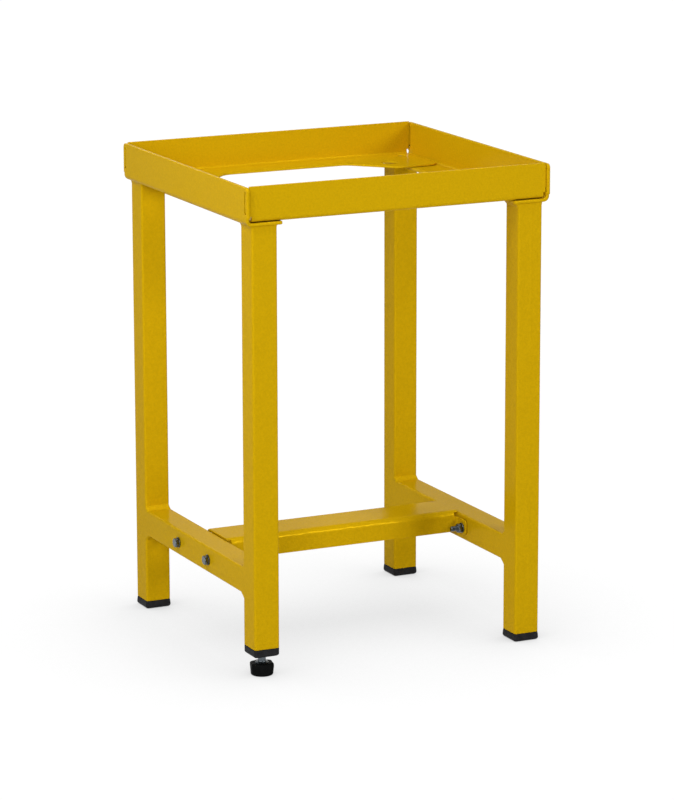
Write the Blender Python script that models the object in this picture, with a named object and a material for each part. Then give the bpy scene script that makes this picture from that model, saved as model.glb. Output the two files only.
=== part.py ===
"""Tool chest stand.

Two welded end frames of square tube carry a shallow tray. The tray's side walls are bent plate angles
welded on the legs. Its front and rear rails are folded from sheet, hook into the side walls with tongues
and are screwed down at the corners. A folded stretcher is bolted between the end rails, and the front
left leg stands on a screw foot that takes up an uneven floor.

Metres, +Z up, +X to the right, +Y to the rear, origin on the floor under the middle of the stand.
"""

import math

import bmesh
import bpy
from mathutils import Vector
from mathutils.geometry import delaunay_2d_cdt

# Overall sizes
STAND_WIDTH = 0.492
STAND_DEPTH = 0.464
RIM_HEIGHT = 0.7332

# Square tube of the legs and end rails
TUBE_SIZE = 0.040
TUBE_CORNER = 0.003
TUBE_WALL = 0.002
LEG_INSET_X = 0.010
LEG_INSET_Y = 0.006
END_RAIL_TOP = 0.160

# Welds: end rails to legs, side flanges to the inboard and the outboard faces of the legs
RAIL_WELD = 0.0075
FLANGE_WELD = 0.004
OUTER_WELD = 0.002
CORNER_FILL = 0.9
WELD_STEPS = (0, 0.15, 0.4, 0.7, 1)
WELD_CURVE = 1.3

# Side angles: bent plate, wall outboard, flange inboard
ANGLE_PLATE = 0.005
ANGLE_HEIGHT = 0.057
ANGLE_FLANGE = 0.058
ANGLE_BEND = 0.004
ANGLE_CORNER = 0.0065
FLANGE_SETBACK = 0.0025
SIDE_DROP = 0.0012
FLANGE_CORNER = 0.004

# Tray rails: folded sheet with gussets at both ends
RAIL_SHEET = 0.003
RAIL_BEND = 0.003
RAIL_RECESS = 0.004
RAIL_FLANGE = 0.058
RAIL_END_GAP = 0.0006
GUSSET_DEPTH = 0.119
GUSSET_WIDTH = 0.082
GUSSET_CORNER = 0.018
GUSSET_EASE = 0.025
BEND_RELIEF = 0.0058
GUSSET_HOLE = 0.026
GUSSET_HOLE_INSET = 0.076

# Tongue and slot joint between the tray rails and the side walls
TONGUE_HEIGHT = 0.029
TONGUE_DROP = 0.0087
SLOT_PLAY = 0.0012

# Lower stretcher: folded channel, open side down, with bolting tabs
STRETCHER_SHEET = 0.003
STRETCHER_BEND = 0.003
STRETCHER_WIDTH = 0.088
STRETCHER_HEIGHT = 0.028
STRETCHER_DROP = 0.0006
STRETCHER_NOTCH = 0.005
TAB_REACH = 0.024
TAB_HEIGHT = 0.021
TAB_CORNER = 0.006
WEB_SETBACK = 0.003

# Stretcher bolts
BOLT_DIAMETER = 0.008
BOLT_PROJECTION = 0.0108
BOLT_HEAD = 0.0053
BOLT_FLATS = 0.013
NUT_HEIGHT = 0.0065
WASHER_DIAMETER = 0.016
WASHER_THICK = 0.0016
THREAD_CHAMFER = 0.0008
HEX_CHAMFER = 0.0007

# Countersunk tray screws and the weld nuts under the side flanges
SCREW_DIAMETER = 0.006
SCREW_HEAD = 0.012
SCREW_LENGTH = 0.018
SCREW_RECESS = 0.001
SCREW_CLEARANCE = 0.0095
SCREW_SOCKET = 0.004
SOCKET_DEPTH = 0.002
WELD_NUT_FLATS = 0.013
WELD_NUT_HEIGHT = 0.006

# End caps and the screw foot
CAP_HEIGHT = 0.0125
CAP_EDGE = 0.004
CAP_BULGE = 0.0007
CAP_FLOOR = 0.004
PLUG_LENGTH = 0.024
PLUG_WALL = 0.0025
PLUG_RIBS = 3
RIB_DEPTH = 0.0012
RIB_LIP = 0.0006
FOOT_LIFT = 0.0305
STUD_DIAMETER = 0.012
STUD_LENGTH = 0.058
COLLAR_DIAMETER = 0.020
COLLAR_HEIGHT = 0.003
COLLAR_RIM = 0.001
BASE_HEIGHT = 0.0185
BASE_FLATS = 0.0335
BASE_CORNER_CUT = 0.0006
BASE_EDGE = 0.002
BASE_TURN = math.radians(-12.5)
SPIGOT_DEPTH = 0.010

# Fits and facets
SEAT_GAP = 0.0003
BORE_PLAY = 0.0005
CORNER_STEPS = 3
BEND_STEPS = 4
ROUND_POINTS = 18
ARC_STEP = math.radians(18)
CREASE_ANGLE = math.radians(32)
MERGE = 1e-6

# Places that several pieces share
LEG_X = STAND_WIDTH / 2 - LEG_INSET_X - TUBE_SIZE / 2
LEG_Y = STAND_DEPTH / 2 - LEG_INSET_Y - TUBE_SIZE / 2
ANGLE_BOTTOM = RIM_HEIGHT - SIDE_DROP - ANGLE_HEIGHT
FLANGE_TOP = ANGLE_BOTTOM + ANGLE_PLATE
RAIL_BOTTOM = FLANGE_TOP + SEAT_GAP
TRAY_FLOOR = RAIL_BOTTOM + RAIL_SHEET
RAIL_FACE_Y = STAND_DEPTH / 2 - RAIL_RECESS
END_RAIL_Z = END_RAIL_TOP - TUBE_SIZE / 2
STRETCHER_TOP = END_RAIL_TOP - STRETCHER_DROP
STRETCHER_END = LEG_X - TUBE_SIZE / 2 - SEAT_GAP
BOLT_Y = STRETCHER_WIDTH / 2 + TAB_REACH / 2
COLLAR_BOTTOM = BASE_HEIGHT + SEAT_GAP

YELLOW_PAINT = ("yellow_paint", (0.560, 0.366, 0.006), 0.38, 0.0)
ZINC_STEEL = ("zinc_steel", (0.52, 0.55, 0.58), 0.32, 1.0)
BLACK_PLASTIC = ("black_plastic", (0.012, 0.012, 0.013), 0.45, 0.0)

SIDES = {"left": -1, "right": 1}
ENDS = {"front": -1, "rear": 1}


def material(finish):
    """Return the Principled material of a finish, made on its first use."""
    name, colour, roughness, metallic = finish
    made = bpy.data.materials.get(name)
    if made is None:
        made = bpy.data.materials.new(name)
        made.use_nodes = True
        shader = made.node_tree.nodes["Principled BSDF"]
        shader.inputs["Base Color"].default_value = (*colour, 1.0)
        shader.inputs["Roughness"].default_value = roughness
        shader.inputs["Metallic"].default_value = metallic
        made.diffuse_color = (*colour, 1.0)
    return made


def finish_mesh(name, bm, finish):
    """Turn a closed bmesh into a smooth shaded mesh with crisp edges."""
    bmesh.ops.recalc_face_normals(bm, faces=bm.faces)
    mesh = bpy.data.meshes.new(name)
    bm.to_mesh(mesh)
    bm.free()
    mesh.materials.append(material(finish))
    mesh.shade_smooth()
    mesh.set_sharp_from_angle(angle=CREASE_ANGLE)
    return mesh


def place(name, mesh, location=(0, 0, 0), turn=0.0, parent=None):
    """Add a named object for a mesh, turned about its own Z axis."""
    piece = bpy.data.objects.new(name, mesh)
    piece.location = location
    piece.rotation_euler = (0, 0, turn)
    piece.parent = parent
    bpy.context.scene.collection.objects.link(piece)
    return piece


def loft(rings, ring_closed=False):
    """Skin a stack of rings with equal counts; a closed stack is a tube, an open one gets end faces."""
    bm = bmesh.new()
    rows = [[bm.verts.new(point) for point in ring] for ring in rings]
    pairs = list(zip(rows, rows[1:]))
    if ring_closed:
        pairs.append((rows[-1], rows[0]))
    else:
        bm.faces.new(rows[0])
        bm.faces.new(rows[-1])
    for low, high in pairs:
        for i in range(len(low)):
            j = (i + 1) % len(low)
            bm.faces.new((low[i], low[j], high[j], high[i]))
    return bm


def box_ring(x_low, x_high, y_low, y_high, corner, place_point):
    """Ring of a rounded rectangle, each 2D point mapped to space by place_point."""
    corners = (
        (x_high - corner, y_high - corner, 0),
        (x_low + corner, y_high - corner, 1),
        (x_low + corner, y_low + corner, 2),
        (x_high - corner, y_low + corner, 3),
    )
    ring = []
    for x, y, quarter in corners:
        for k in range(CORNER_STEPS + 1):
            angle = (quarter + k / CORNER_STEPS) * math.pi / 2
            ring.append(place_point(x + corner * math.cos(angle), y + corner * math.sin(angle)))
    return ring


def square_ring(half, corner, z):
    """Horizontal ring of a rounded square about the Z axis."""
    return box_ring(-half, half, -half, half, corner, lambda x, y: Vector((x, y, z)))


def round_ring(radius, z):
    """Horizontal ring of a circle about the Z axis."""
    angles = [(i + 0.5) * 2 * math.pi / ROUND_POINTS for i in range(ROUND_POINTS)]
    return [Vector((radius * math.cos(angle), radius * math.sin(angle), z)) for angle in angles]


def hex_ring(flats, z, limit=None):
    """Horizontal ring of a hexagon across the flats, its corners cut back to the radius limit."""
    ring = []
    for i in range(ROUND_POINTS):
        angle = (i + 0.5) * 2 * math.pi / ROUND_POINTS
        off_flat = (angle + math.pi / 6) % (math.pi / 3) - math.pi / 6
        radius = flats / 2 / math.cos(off_flat)
        if limit is not None:
            radius = min(radius, limit)
        ring.append(Vector((radius * math.cos(angle), radius * math.sin(angle), z)))
    return ring


def fillet_outline(corners):
    """Closed 2D outline from (x, y, radius) corners, each rounded by an arc."""
    outline = []
    for i, (x, y, radius) in enumerate(corners):
        here = Vector((x, y))
        if radius == 0:
            outline.append(here)
            continue
        back = (Vector(corners[i - 1][:2]) - here).normalized()
        ahead = (Vector(corners[(i + 1) % len(corners)][:2]) - here).normalized()
        half = back.angle(ahead) / 2
        centre = here + (back + ahead).normalized() * radius / math.sin(half)
        start = here + back * radius / math.tan(half) - centre
        end = here + ahead * radius / math.tan(half) - centre
        sweep = math.atan2(start.x * end.y - start.y * end.x, start.dot(end))
        steps = max(1, math.ceil(abs(sweep) / ARC_STEP))
        for k in range(steps + 1):
            angle = sweep * k / steps
            cosine = math.cos(angle)
            sine = math.sin(angle)
            turned = Vector((start.x * cosine - start.y * sine, start.x * sine + start.y * cosine))
            outline.append(centre + turned)
    return outline


def circle(x, y, radius):
    """2D outline of a round hole."""
    return [Vector((x, y)) + point.to_2d() for point in round_ring(radius, 0)]


def inside(point, outline):
    """Tell whether a 2D point lies inside a closed outline."""
    within = False
    for i, a in enumerate(outline):
        b = outline[i - 1]
        if (a.y > point.y) != (b.y > point.y):
            if point.x < a.x + (b.x - a.x) * (point.y - a.y) / (b.y - a.y):
                within = not within
    return within


def folded_sheet(outline, holes, creases, thickness, fold):
    """Cut a flat pattern from sheet and fold it.

    holes are pairs of equal outlines, on the back and the front of the sheet, which differ where a hole is
    countersunk. creases are the 2D lines that the bends need as edges. fold maps a flat point and its height
    over the middle of the sheet to space.
    """
    points = []
    edges = []
    for loop in [outline] + [back for back, _ in holes]:
        first = len(points)
        points.extend(loop)
        edges.extend((first + i, first + (i + 1) % len(loop)) for i in range(len(loop)))
    fronts = dict(enumerate(outline))
    fronts.update(enumerate([point for _, front in holes for point in front], len(outline)))
    for a, b in creases:
        edges.append((len(points), len(points) + 1))
        points.extend((Vector(a), Vector(b)))
    flat, _, faces, sources, _, _ = delaunay_2d_cdt(points, edges, [], 0, MERGE)

    bm = bmesh.new()
    back_verts = {}
    front_verts = {}
    for face in faces:
        centre = sum((flat[i] for i in face), Vector((0, 0))) / len(face)
        if not inside(centre, outline) or any(inside(centre, back) for back, _ in holes):
            continue
        for i in face:
            if i in back_verts:
                continue
            front = next((fronts[s] for s in sources[i] if s in fronts), flat[i])
            back_verts[i] = bm.verts.new(fold(flat[i].x, flat[i].y, -thickness / 2))
            front_verts[i] = bm.verts.new(fold(front.x, front.y, thickness / 2))
        bm.faces.new([front_verts[i] for i in face])
        bm.faces.new([back_verts[i] for i in reversed(face)])
    partner = {back_verts[i]: front_verts[i] for i in back_verts}
    rims = [edge for edge in bm.edges if edge.is_boundary and edge.verts[0] in partner]
    for edge in rims:
        a, b = edge.verts
        bm.faces.new((a, b, partner[b], partner[a]))
    return bm


def bend(reach, height, radius):
    """Bend a flat point by a right angle towards +height, starting where reach is zero."""
    if reach <= 0:
        return reach, height
    arc = radius * math.pi / 2
    angle = min(reach, arc) / radius
    past = max(reach - arc, 0)
    return (radius - height) * math.sin(angle), radius - (radius - height) * math.cos(angle) + past


def bend_creases(first, radius, low, high):
    """Lines across the pattern at equal turns through a bend."""
    arc = radius * math.pi / 2
    levels = [first + arc * k / BEND_STEPS for k in range(BEND_STEPS + 1)]
    return [((low, level), (high, level)) for level in levels]


def side_angle_mesh():
    """Side wall with its inboard flange, wall outside on x = 0, bottom on z = 0.

    In the flat pattern x runs along the stand's depth and y runs down the wall from the start of the bend.
    """
    middle = ANGLE_BEND + ANGLE_PLATE / 2
    arc = middle * math.pi / 2
    tangent = ANGLE_BEND + ANGLE_PLATE
    wall_top = tangent - ANGLE_HEIGHT
    wall_end = STAND_DEPTH / 2
    flange_end = wall_end - FLANGE_SETBACK
    flange_edge = arc + ANGLE_FLANGE - tangent
    half = (
        (wall_end, wall_top, ANGLE_CORNER),
        (wall_end, -FLANGE_SETBACK, 0),
        (flange_end, -FLANGE_SETBACK, 0),
        (flange_end, flange_edge, FLANGE_CORNER),
    )
    mirrored = tuple((-x, y, radius) for x, y, radius in reversed(half))
    holes = []
    slot_top = tangent - (ANGLE_HEIGHT + SIDE_DROP - TONGUE_DROP) - SEAT_GAP
    slot_bottom = slot_top + TONGUE_HEIGHT + SEAT_GAP + SLOT_PLAY
    slot_out = wall_end - RAIL_RECESS + SEAT_GAP
    slot_in = wall_end - RAIL_RECESS - RAIL_SHEET - SLOT_PLAY
    screw_reach = arc + LEG_INSET_X + TUBE_SIZE / 2 - tangent
    for end in ENDS.values():
        slot = [
            Vector((end * slot_in, slot_top)),
            Vector((end * slot_out, slot_top)),
            Vector((end * slot_out, slot_bottom)),
            Vector((end * slot_in, slot_bottom)),
        ]
        screw = circle(end * LEG_Y, screw_reach, SCREW_CLEARANCE / 2)
        holes += [(slot, slot), (screw, screw)]

    def fold(x, y, height):
        down, across = bend(y, height, middle)
        return Vector((across + ANGLE_PLATE / 2, x, tangent - down))

    creases = bend_creases(0, middle, -wall_end, wall_end)
    bm = folded_sheet(fillet_outline(half + mirrored), holes, creases, ANGLE_PLATE, fold)
    return finish_mesh("side_angle", bm, YELLOW_PAINT)


def tray_rail_mesh():
    """Front or rear tray wall with its gusseted floor flange, wall outside on y = 0, bottom on z = 0.

    In the flat pattern x runs along the stand's width and y runs down the wall from the start of the bend.
    """
    middle = RAIL_BEND + RAIL_SHEET / 2
    arc = middle * math.pi / 2
    tangent = RAIL_BEND + RAIL_SHEET
    wall_height = RIM_HEIGHT - RAIL_BOTTOM
    wall_top = tangent - wall_height
    outside = STAND_WIDTH / 2
    wall_end = outside - ANGLE_PLATE - RAIL_END_GAP
    floor_end = outside - ANGLE_PLATE - ANGLE_BEND - BORE_PLAY
    tongue_top = wall_top + TONGUE_DROP
    tongue_bottom = tongue_top + TONGUE_HEIGHT
    relief_top = tangent - RAIL_SHEET - BEND_RELIEF
    flange_edge = arc + RAIL_FLANGE - tangent
    gusset_edge = arc + GUSSET_DEPTH - tangent
    gusset_in = outside - GUSSET_WIDTH
    ease_in = gusset_in - (gusset_edge - flange_edge)
    half = (
        (wall_end, wall_top, 0),
        (wall_end, tongue_top, 0),
        (outside, tongue_top, 0),
        (outside, tongue_bottom, 0),
        (wall_end, tongue_bottom, 0),
        (wall_end, relief_top, 0),
        (floor_end, relief_top, 0),
        (floor_end, gusset_edge, GUSSET_CORNER),
        (gusset_in, gusset_edge, GUSSET_EASE),
        (ease_in, flange_edge, GUSSET_EASE),
    )
    mirrored = tuple((-x, y, radius) for x, y, radius in reversed(half))
    holes = []
    face_to_end = STAND_DEPTH / 2 - RAIL_FACE_Y
    screw_reach = arc + LEG_INSET_Y + TUBE_SIZE / 2 - face_to_end - tangent
    hole_reach = arc + GUSSET_HOLE_INSET - tangent
    for side in SIDES.values():
        sink = SCREW_HEAD / 2 + SCREW_RECESS + 2 * SEAT_GAP
        wide = circle(side * LEG_X, screw_reach, sink)
        narrow = circle(side * LEG_X, screw_reach, sink - RAIL_SHEET)
        plain = circle(side * (outside - GUSSET_HOLE_INSET), hole_reach, GUSSET_HOLE / 2)
        holes += [(narrow, wide), (plain, plain)]

    def fold(x, y, height):
        down, across = bend(y, height, middle)
        return Vector((x, across + RAIL_SHEET / 2, tangent - down))

    creases = bend_creases(0, middle, -outside, outside)
    bm = folded_sheet(fillet_outline(half + mirrored), holes, creases, RAIL_SHEET, fold)
    return finish_mesh("tray_rail", bm, YELLOW_PAINT)


def stretcher_mesh():
    """Channel with bolting tabs, its top on z = 0, bent down along both edges and out at the four tabs.

    In the flat pattern x runs along the stand's width and y across the stretcher.
    """
    middle = STRETCHER_BEND + STRETCHER_SHEET / 2
    arc = middle * math.pi / 2
    tangent = STRETCHER_BEND + STRETCHER_SHEET
    web = STRETCHER_WIDTH / 2 - tangent
    flange_edge = web + arc + STRETCHER_HEIGHT - tangent
    tab_top = flange_edge - TAB_HEIGHT
    tab_start = STRETCHER_END - tangent
    tab_edge = tab_start + arc + TAB_REACH - STRETCHER_BEND
    notch_in = tab_start - STRETCHER_NOTCH
    web_end = STRETCHER_END - WEB_SETBACK
    quarter = (
        (web_end, web, 0),
        (notch_in, web, 0),
        (notch_in, tab_top - STRETCHER_SHEET, STRETCHER_SHEET / 2),
        (tab_start, tab_top, 0),
        (tab_edge, tab_top, TAB_CORNER),
        (tab_edge, flange_edge, TAB_CORNER),
    )
    half = quarter + tuple((-x, y, radius) for x, y, radius in reversed(quarter))
    outline = half + tuple((x, -y, radius) for x, y, radius in reversed(half))
    bolt_down = flange_edge - (STRETCHER_HEIGHT - (STRETCHER_TOP - END_RAIL_Z))
    bolt_along = tab_start + arc + BOLT_Y - STRETCHER_WIDTH / 2 - STRETCHER_BEND
    creases = []
    holes = []
    for end in ENDS.values():
        creases += [
            ((a[0], end * a[1]), (b[0], end * b[1])) for a, b in bend_creases(web, middle, -web_end, web_end)
        ]
        for side in SIDES.values():
            bore = circle(side * bolt_along, end * bolt_down, BOLT_DIAMETER / 2 + BORE_PLAY)
            holes.append((bore, bore))
            for line in bend_creases(tab_start, middle, tab_top, flange_edge):
                creases.append(tuple((side * level, end * place) for place, level in line))

    def fold(x, y, height):
        along = abs(x)
        if abs(y) > tab_top - MERGE and along > tab_start:
            past, lift = bend(along - tab_start, height, middle)
            along = tab_start + past
            height = lift
        across, drop = bend(abs(y) - web, -height, middle)
        return Vector((math.copysign(along, x), math.copysign(web + across, y), -drop - STRETCHER_SHEET / 2))

    bm = folded_sheet(fillet_outline(outline), holes, creases, STRETCHER_SHEET, fold)
    return finish_mesh("stretcher", bm, YELLOW_PAINT)


def weld_flare(size, share):
    """How far a weld of a size stands out at a share of its depth from the joint."""
    return size * (1 - share) ** WELD_CURVE


def leg_mesh(side, end, bottom):
    """Leg about the Z axis from its lower end to the weld under the side flange.

    The weld is full on the two inboard faces and small on the face under the side wall. The face towards
    the stand's front or rear end has none.
    """
    top = ANGLE_BOTTOM - SEAT_GAP
    half = TUBE_SIZE / 2
    bore = half - TUBE_WALL
    bore_corner = TUBE_CORNER - TUBE_WALL

    def ring(z, share):
        inner = half + weld_flare(FLANGE_WELD, share)
        outer = half + weld_flare(OUTER_WELD, share)
        left, right = (outer, inner) if side < 0 else (inner, outer)
        front, rear = (half, inner) if end < 0 else (inner, half)

        def put(x, y):
            return Vector((x, y, z))

        return box_ring(-left, right, -front, rear, TUBE_CORNER, put)

    rings = [square_ring(half, TUBE_CORNER, bottom)]
    rings += [ring(top - FLANGE_WELD * share, share) for share in reversed(WELD_STEPS)]
    rings += [square_ring(bore, bore_corner, z) for z in (top, bottom)]
    return finish_mesh("leg", loft(rings, ring_closed=True), YELLOW_PAINT)


def end_rail_mesh():
    """End rail along Y about its own middle, welded into the faces of the two legs.

    Its ends wrap the round corners of the legs, so that the outer faces run on flush.
    """
    half = TUBE_SIZE / 2
    face = LEG_Y - half - SEAT_GAP

    def wrap(x):
        past = max(abs(x) - (half - TUBE_CORNER), 0)
        return CORNER_FILL * (TUBE_CORNER - math.sqrt(max(TUBE_CORNER**2 - past**2, 0)))

    def ring(end, depth, flare, inset=0.0):
        def put(x, z):
            reach = face - depth + (wrap(x) if depth == 0 else 0)
            return Vector((x, end * reach, z))

        wide = half - inset
        return box_ring(-wide, wide, -wide - flare, wide + flare, TUBE_CORNER - inset, put)

    def face_rings(end):
        facets = [TUBE_CORNER * (1 - math.sin(k / CORNER_STEPS * math.pi / 2)) for k in range(CORNER_STEPS)]
        steps = [inset for inset in reversed(facets) if inset < TUBE_WALL - SEAT_GAP]
        flare = RAIL_WELD - SEAT_GAP
        return [ring(end, 0, flare, inset) for inset in steps] + [ring(end, 0, 0, TUBE_WALL)]

    welds = [(RAIL_WELD * share, weld_flare(RAIL_WELD, share)) for share in WELD_STEPS]
    rings = [ring(-1, depth, flare) for depth, flare in welds]
    rings += [ring(1, depth, flare) for depth, flare in reversed(welds)]
    rings += face_rings(1) + face_rings(-1)[::-1]
    return finish_mesh("end_rail", loft(rings, ring_closed=True), YELLOW_PAINT)


def drill(piece, name, axis_turn, location, radius, length):
    """Cut a round hole along X or Z through a piece with a Boolean cutter."""
    half = length / 2
    bm = loft([round_ring(radius, -half), round_ring(radius, half)])
    cutter = place(name, finish_mesh(name, bm, ZINC_STEEL), location, parent=piece)
    cutter.rotation_euler = axis_turn
    cutter.hide_render = True
    cutter.display_type = "WIRE"
    cut = piece.modifiers.new(name, "BOOLEAN")
    cut.operation = "DIFFERENCE"
    cut.solver = "EXACT"
    cut.object = cutter


def cap_rings(bulge):
    """Outside of a plastic tube plug from its round bottom edge to the top of its ribs.

    bulge is how far the plug stands out from the tube where its bottom edge starts to round.
    """
    half = TUBE_SIZE / 2
    rib = half - TUBE_WALL - SEAT_GAP
    core = rib - RIB_DEPTH
    corner = TUBE_CORNER - TUBE_WALL
    rings = []
    for k in range(CORNER_STEPS + 1):
        angle = k / CORNER_STEPS * math.pi / 2
        inset = CAP_EDGE * (1 - math.sin(angle))
        z = CAP_EDGE * (1 - math.cos(angle))
        rings.append(square_ring(half + bulge - inset, TUBE_CORNER, z))
    top = CAP_HEIGHT - SEAT_GAP
    rings.append(square_ring(half, TUBE_CORNER, top))
    rings.append(square_ring(core, corner, top))
    pitch = PLUG_LENGTH / PLUG_RIBS
    for k in range(PLUG_RIBS):
        start = top + k * pitch
        rings.append(square_ring(core, corner, start + pitch / 2))
        rings.append(square_ring(rib, corner, start + pitch / 2 + RIB_LIP))
        rings.append(square_ring(core, corner, start + pitch))
    return rings


def end_cap_mesh():
    """Hollow plug that closes the lower end of a leg and stands on the floor."""
    rings = cap_rings(CAP_BULGE)
    hollow = TUBE_SIZE / 2 - TUBE_WALL - SEAT_GAP - RIB_DEPTH - PLUG_WALL
    corner = TUBE_CORNER - TUBE_WALL
    rings.append(square_ring(hollow, corner, CAP_HEIGHT + PLUG_LENGTH - SEAT_GAP))
    rings.append(square_ring(hollow, corner, CAP_FLOOR))
    return finish_mesh("end_cap", loft(rings), BLACK_PLASTIC)


def hex_bolt_mesh(length):
    """Hexagon bolt along Z: head above z = 0, shank below."""
    shank = BOLT_DIAMETER / 2
    rings = [
        hex_ring(BOLT_FLATS, BOLT_HEAD, BOLT_FLATS / 2),
        hex_ring(BOLT_FLATS, BOLT_HEAD - HEX_CHAMFER),
        hex_ring(BOLT_FLATS, 0),
        round_ring(shank, 0),
        round_ring(shank, THREAD_CHAMFER - length),
        round_ring(shank - THREAD_CHAMFER, -length),
    ]
    return finish_mesh("hex_bolt", loft(rings), ZINC_STEEL)


def washer_mesh():
    """Plain washer resting on z = 0."""
    outer = WASHER_DIAMETER / 2
    bore = BOLT_DIAMETER / 2 + SEAT_GAP
    rings = [
        round_ring(outer, 0),
        round_ring(outer, WASHER_THICK),
        round_ring(bore, WASHER_THICK),
        round_ring(bore, 0),
    ]
    return finish_mesh("washer", loft(rings, ring_closed=True), ZINC_STEEL)


def nut_mesh(name, flats, height, thread):
    """Hexagon nut resting on z = 0, chamfered on both faces."""
    bore = thread / 2 + SEAT_GAP
    rings = [
        hex_ring(flats, 0, flats / 2),
        hex_ring(flats, HEX_CHAMFER),
        hex_ring(flats, height - HEX_CHAMFER),
        hex_ring(flats, height, flats / 2),
        round_ring(bore, height),
        round_ring(bore, 0),
    ]
    return finish_mesh(name, loft(rings, ring_closed=True), ZINC_STEEL)


def tray_screw_mesh():
    """Countersunk socket screw, the top of its head on z = 0, shank down."""
    head = SCREW_HEAD / 2
    shank = SCREW_DIAMETER / 2
    rings = [
        hex_ring(SCREW_SOCKET, -SOCKET_DEPTH),
        hex_ring(SCREW_SOCKET, 0),
        round_ring(head, 0),
        round_ring(shank, shank - head),
        round_ring(shank, THREAD_CHAMFER - SCREW_LENGTH),
        round_ring(shank - THREAD_CHAMFER, -SCREW_LENGTH),
    ]
    return finish_mesh("tray_screw", loft(rings), ZINC_STEEL)


def foot_stud_mesh():
    """Threaded stud with the collar that sits on the foot base and the spigot below it."""
    shank = STUD_DIAMETER / 2
    collar = COLLAR_DIAMETER / 2
    rings = [
        round_ring(shank, -SPIGOT_DEPTH),
        round_ring(shank, 0),
        round_ring(collar, 0),
        round_ring(collar, COLLAR_RIM),
        round_ring(shank, COLLAR_HEIGHT),
        round_ring(shank, COLLAR_HEIGHT + STUD_LENGTH - THREAD_CHAMFER),
        round_ring(shank - THREAD_CHAMFER, COLLAR_HEIGHT + STUD_LENGTH),
    ]
    return finish_mesh("foot_stud", loft(rings), ZINC_STEEL)


def foot_base_mesh():
    """Plastic foot, hexagonal at the top and round at the floor, with the socket for the stud."""
    limit = BASE_FLATS / math.sqrt(3) - BASE_CORNER_CUT
    socket = STUD_DIAMETER / 2 + SEAT_GAP
    rings = [
        round_ring(BASE_FLATS / 2 - BASE_EDGE, 0),
        round_ring(BASE_FLATS / 2, BASE_EDGE),
        hex_ring(BASE_FLATS, BASE_HEIGHT - BASE_EDGE, limit),
        hex_ring(BASE_FLATS - 2 * BASE_EDGE, BASE_HEIGHT, limit - BASE_EDGE),
        round_ring(socket, BASE_HEIGHT),
        round_ring(socket, BASE_HEIGHT - SPIGOT_DEPTH - SEAT_GAP),
    ]
    return finish_mesh("foot_base", loft(rings), BLACK_PLASTIC)


def build_tray():
    """Side angles, tray rails and the screws that hold them together."""
    angle = side_angle_mesh()
    for side, sign in SIDES.items():
        turn = 0 if sign < 0 else math.pi
        place(f"{side}_side_angle", angle, (sign * STAND_WIDTH / 2, 0, ANGLE_BOTTOM), turn)
    rail = tray_rail_mesh()
    for end, sign in ENDS.items():
        turn = 0 if sign < 0 else math.pi
        place(f"{end}_tray_rail", rail, (0, sign * RAIL_FACE_Y, RAIL_BOTTOM), turn)
    screw = tray_screw_mesh()
    weld_nut = nut_mesh("weld_nut", WELD_NUT_FLATS, WELD_NUT_HEIGHT, SCREW_DIAMETER)
    screw_z = TRAY_FLOOR - SCREW_RECESS - SEAT_GAP
    nut_z = ANGLE_BOTTOM - SEAT_GAP - WELD_NUT_HEIGHT
    for end, y in ENDS.items():
        for side, x in SIDES.items():
            place(f"{end}_{side}_tray_screw", screw, (x * LEG_X, y * LEG_Y, screw_z))
            place(f"{end}_{side}_weld_nut", weld_nut, (x * LEG_X, y * LEG_Y, nut_z))


def build_end_frames():
    """Legs with their end caps, and the end rails with their bolt holes."""
    cap = end_cap_mesh()
    rail = end_rail_mesh()
    hole = BOLT_DIAMETER / 2 + BORE_PLAY
    for side, x in SIDES.items():
        end_rail = place(f"{side}_end_rail", rail, (x * LEG_X, 0, END_RAIL_Z))
        for end, y in ENDS.items():
            name = f"{end}_{side}"
            lift = FOOT_LIFT if name == "front_left" else 0
            bottom = lift + CAP_HEIGHT
            place(f"{name}_leg", leg_mesh(x, y, bottom), (x * LEG_X, y * LEG_Y, 0))
            drill(end_rail, f"{name}_bolt_hole", (0, math.pi / 2, 0), (0, y * BOLT_Y, 0), hole, 2 * TUBE_SIZE)
            if lift == 0:
                place(f"{name}_end_cap", cap, (x * LEG_X, y * LEG_Y, 0))


def build_stretcher():
    """Stretcher and its four bolts, each with a washer under the head and a washer and nut on the tab."""
    place("stretcher", stretcher_mesh(), (0, 0, STRETCHER_TOP))
    washer = washer_mesh()
    nut = nut_mesh("nut", BOLT_FLATS, NUT_HEIGHT, BOLT_DIAMETER)
    head_washer_x = LEG_X + TUBE_SIZE / 2 + SEAT_GAP
    head_x = head_washer_x + WASHER_THICK + SEAT_GAP
    nut_washer_x = STRETCHER_END - STRETCHER_SHEET - SEAT_GAP
    nut_x = nut_washer_x - WASHER_THICK - SEAT_GAP
    bolt = hex_bolt_mesh(head_x - nut_x + NUT_HEIGHT + BOLT_PROJECTION)
    for end, y in ENDS.items():
        for side, x in SIDES.items():
            name = f"{end}_{side}"
            outward = (0, x * math.pi / 2, 0)
            inward = (0, -x * math.pi / 2, 0)
            pieces = (
                (f"{name}_bolt", bolt, head_x, outward),
                (f"{name}_head_washer", washer, head_washer_x, outward),
                (f"{name}_nut_washer", washer, nut_washer_x, inward),
                (f"{name}_nut", nut, nut_x, inward),
            )
            for piece_name, mesh, distance, tilt in pieces:
                piece = place(piece_name, mesh, (x * distance, y * BOLT_Y, END_RAIL_Z))
                piece.rotation_euler = tilt


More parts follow.
